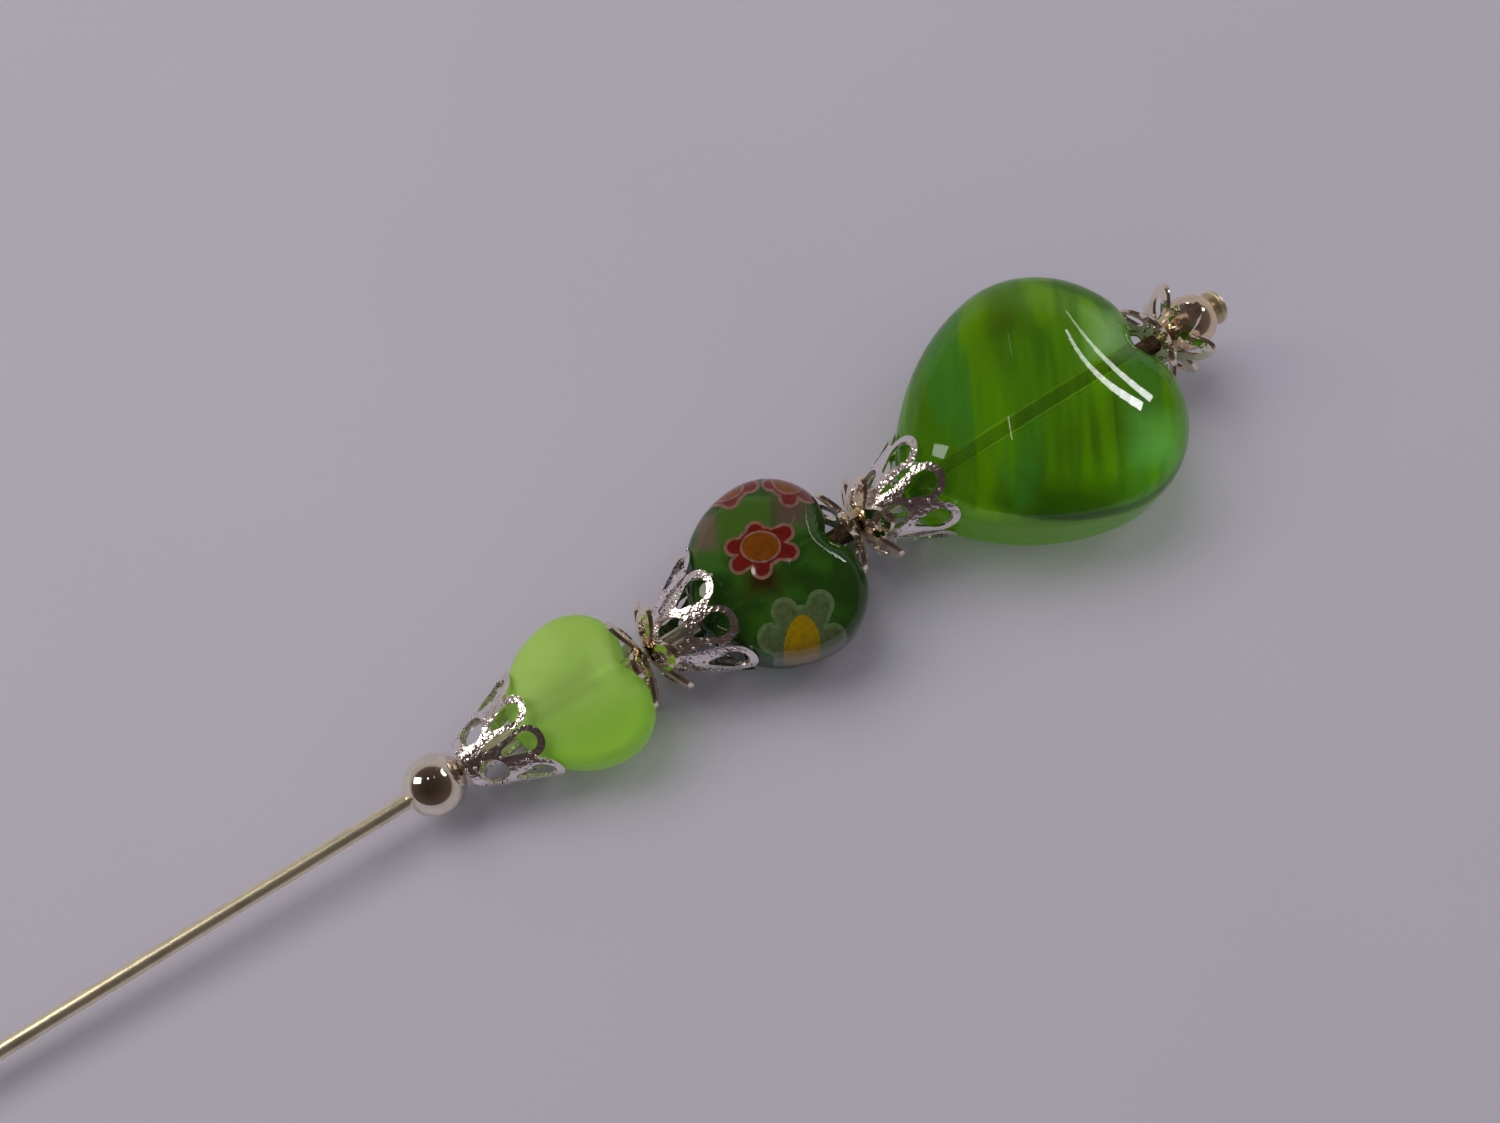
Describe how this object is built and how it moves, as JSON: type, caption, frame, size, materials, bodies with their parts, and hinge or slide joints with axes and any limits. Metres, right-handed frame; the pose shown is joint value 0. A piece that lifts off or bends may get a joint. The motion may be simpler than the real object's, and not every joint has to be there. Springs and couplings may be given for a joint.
{
  "type": "decorative hair pin",
  "caption": "Straight headed stick pin for hair, strung with glass hearts between silver-plated flower caps and finger cone caps, held by a glued metal bead, tapering to a point.",
  "frame": {"origin": "centre of the pin head's flat top, on the wire's axis", "axes": "+X along the wire and out of its head, so the point is at -X; +Z is through the thickness of the hearts, which lie flat in the XY plane; +Y completes the right-handed frame"},
  "size_m": [0.152, 0.02, 0.0096],
  "materials": {
    "plated_wire": "bright silver-plated round wire, drawn smooth",
    "polished_silver": "mirror-bright silver plate",
    "stippled_silver": "bright silver plate with fine raised grains",
    "clear_adhesive": "clear set adhesive",
    "emerald_glass": "fire-polished transparent green glass with wavy lighter streaks",
    "dark_green_glass": "fire-polished transparent dark green glass",
    "frosted_lime_glass": "acid-frosted translucent lime glass",
    "white_glass": "opaque white cane glass",
    "red_glass": "opaque red cane glass",
    "orange_glass": "opaque orange cane glass",
    "green_glass": "opaque green cane glass",
    "yellow_glass": "opaque yellow cane glass",
    "blue_glass": "blue cane glass",
    "release_coat": "matt dark grit left from the mandrel"
  },
  "bodies": {
    "pin": {"pin_wire": "plated_wire", "stopper_bead": "polished_silver", "stopper_adhesive": "clear_adhesive"},
    "head_bead": {"head_bead": "polished_silver"},
    "big_cup_cap": {"big_cup_cap": "polished_silver"},
    "big_crown_cap": {"big_crown_cap": "polished_silver"},
    "big_heart_group": {"big_heart": "emerald_glass", "big_cone_cap": "stippled_silver", "big_heart_hole_lining": "release_coat"},
    "millefiori_cup_cap": {"millefiori_cup_cap": "polished_silver"},
    "millefiori_crown_cap": {"millefiori_crown_cap": "polished_silver"},
    "millefiori_heart_group": {"millefiori_heart": "dark_green_glass", "millefiori_cone_cap": "stippled_silver", "millefiori_heart_hole_lining": "release_coat", "star_cane_white": "white_glass", "star_cane_red": "red_glass", "star_cane_orange": "orange_glass", "flower_cane_white": "white_glass", "flower_cane_green": "green_glass", "flower_cane_yellow": "yellow_glass", "blue_cane": "blue_glass"},
    "frosted_cup_cap": {"frosted_cup_cap": "polished_silver"},
    "frosted_crown_cap": {"frosted_crown_cap": "polished_silver"},
    "frosted_heart_group": {"frosted_heart": "frosted_lime_glass", "frosted_cone_cap": "stippled_silver"}
  },
  "joints": [
    {"name": "head_bead_turn", "type": "hinge", "parent": "pin", "child": "head_bead", "pos_m": [-0.00263, 0, 0], "axis": [1, 0, 0], "continuous": true},
    {"name": "big_cup_cap_turn", "type": "hinge", "parent": "pin", "child": "big_cup_cap", "pos_m": [-0.00521, 0, 0], "axis": [1, 0, 0], "continuous": true},
    {"name": "big_crown_cap_turn", "type": "hinge", "parent": "pin", "child": "big_crown_cap", "pos_m": [-0.00529, 0, 0], "axis": [1, 0, 0], "continuous": true},
    {"name": "big_heart_group_turn", "type": "hinge", "parent": "pin", "child": "big_heart_group", "pos_m": [-0.01767, 0, 0], "axis": [1, 0, 0], "continuous": true},
    {"name": "millefiori_cup_cap_turn", "type": "hinge", "parent": "pin", "child": "millefiori_cup_cap", "pos_m": [-0.0329, 0, 0], "axis": [1, 0, 0], "continuous": true},
    {"name": "millefiori_crown_cap_turn", "type": "hinge", "parent": "pin", "child": "millefiori_crown_cap", "pos_m": [-0.03298, 0, 0], "axis": [1, 0, 0], "continuous": true},
    {"name": "millefiori_heart_group_turn", "type": "hinge", "parent": "pin", "child": "millefiori_heart_group", "pos_m": [-0.03921, 0, 0], "axis": [1, 0, 0], "continuous": true},
    {"name": "frosted_cup_cap_turn", "type": "hinge", "parent": "pin", "child": "frosted_cup_cap", "pos_m": [-0.05004, 0, 0], "axis": [1, 0, 0], "continuous": true},
    {"name": "frosted_crown_cap_turn", "type": "hinge", "parent": "pin", "child": "frosted_crown_cap", "pos_m": [-0.05012, 0, 0], "axis": [1, 0, 0], "continuous": true},
    {"name": "frosted_heart_group_turn", "type": "hinge", "parent": "pin", "child": "frosted_heart_group", "pos_m": [-0.05486, 0, 0], "axis": [1, 0, 0], "continuous": true}
  ]
}
